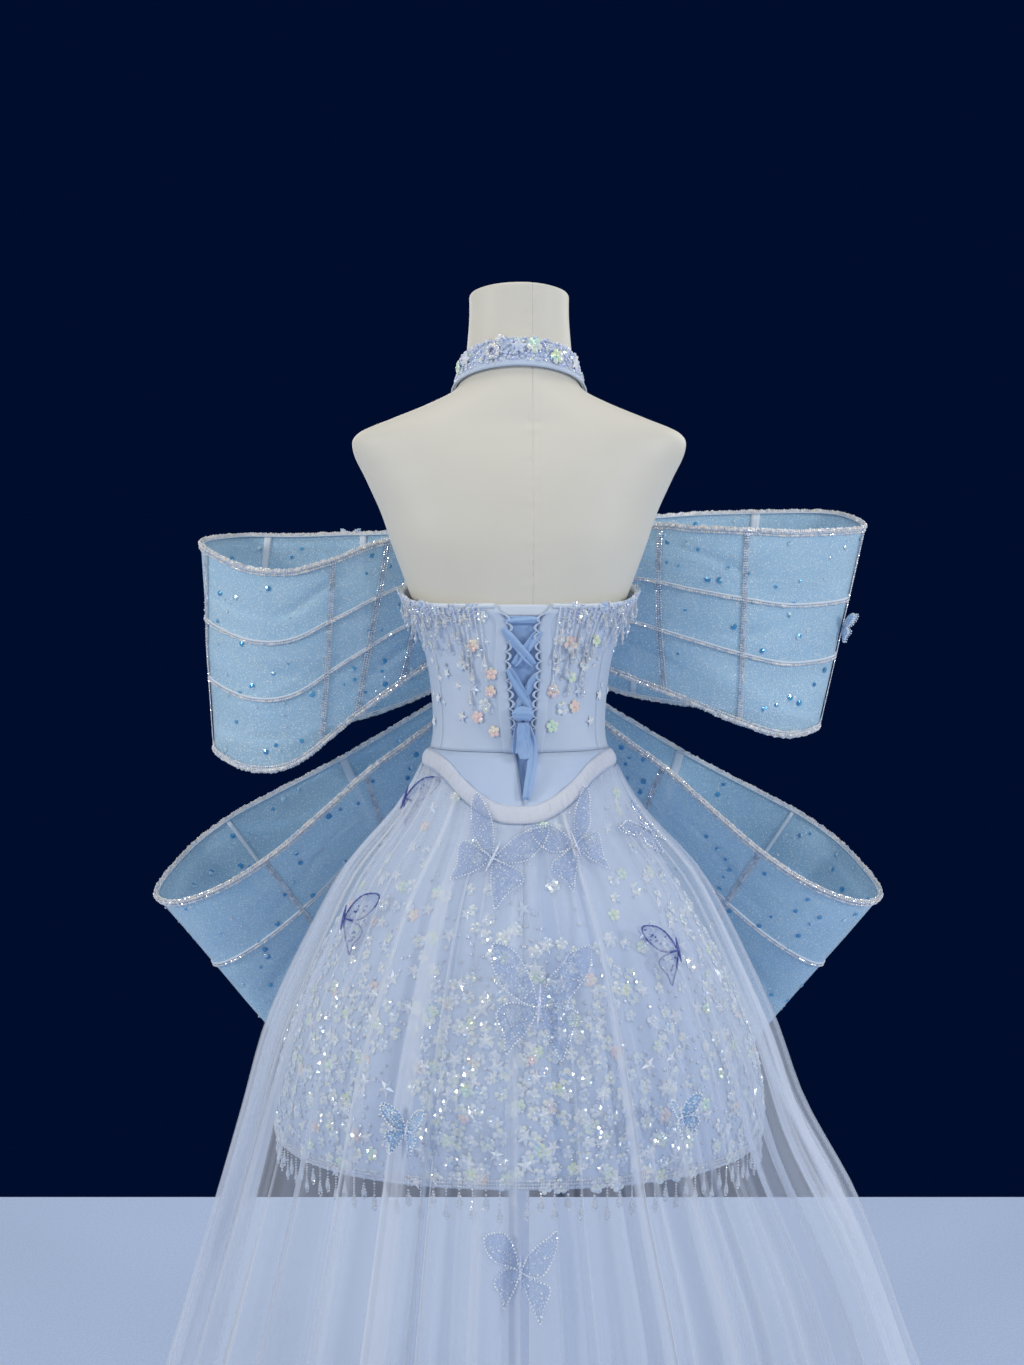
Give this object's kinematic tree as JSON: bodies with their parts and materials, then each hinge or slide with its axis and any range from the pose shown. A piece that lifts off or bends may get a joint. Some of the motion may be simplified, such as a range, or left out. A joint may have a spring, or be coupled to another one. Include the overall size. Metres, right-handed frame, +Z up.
{
  "type": "prom dress on dress form",
  "caption": "Laced halter prom dress with a short beaded skirt, a long open overskirt and a giant looped bow, on a limbless dress form with a pole and a round foot.",
  "frame": {"origin": "centre of the underside of the dress form's foot, on the floor", "axes": "+Z up; the front faces -Y and the laced back faces +Y; +X is the wearer's left"},
  "size_m": [1.1256, 0.8932, 1.586],
  "materials": {
    "form_cloth": "smooth cream cover",
    "stand_metal": "satin",
    "bodice_satin": "satin",
    "lacing_satin": "satin",
    "bead_work": "clear and silver beads on cloth",
    "tulle": "sheer tulle",
    "band_tulle": "gathered tulle",
    "glitter_organza": "sheer glitter organza"
  },
  "bodies": {
    "root": {"dress_form": "form_cloth", "stand_pole": "stand_metal", "stand_foot": "stand_metal", "bodice_front": "bodice_satin", "bodice_side_left": "bodice_satin", "bodice_side_right": "bodice_satin", "bodice_back_left": "bodice_satin", "bodice_back_right": "bodice_satin", "strap_left": "bodice_satin", "strap_right": "bodice_satin", "skirt_front": "bodice_satin", "skirt_back_left": "bodice_satin", "skirt_back_right": "bodice_satin", "modesty_panel": "lacing_satin", "lacing_bar": "lacing_satin", "lacing_cross_1": "lacing_satin", "lacing_cross_2": "lacing_satin", "lacing_cross_3": "lacing_satin", "lacing_cross_4": "lacing_satin", "lacing_knot": "lacing_satin", "lacing_tail_left": "lacing_satin", "lacing_tail_right": "lacing_satin", "lacing_tail_middle": "lacing_satin", "collar": "bead_work", "hem_fringe": "bead_work", "bodice_fringe_left": "bead_work", "bodice_fringe_right": "bead_work", "bow_upper_left_tape": "bead_work", "bow_upper_right_tape": "bead_work", "bow_lower_left_tape": "bead_work", "bow_lower_right_tape": "bead_work", "overskirt_left": "tulle", "overskirt_right": "tulle", "overskirt_band": "band_tulle", "bow_knot": "glitter_organza", "bow_upper_left": "glitter_organza", "bow_upper_right": "glitter_organza", "bow_lower_left": "glitter_organza", "bow_lower_right": "glitter_organza", "butterfly_1": "glitter_organza", "butterfly_2": "glitter_organza", "butterfly_3": "glitter_organza", "butterfly_4": "glitter_organza"}
  },
  "joints": []
}
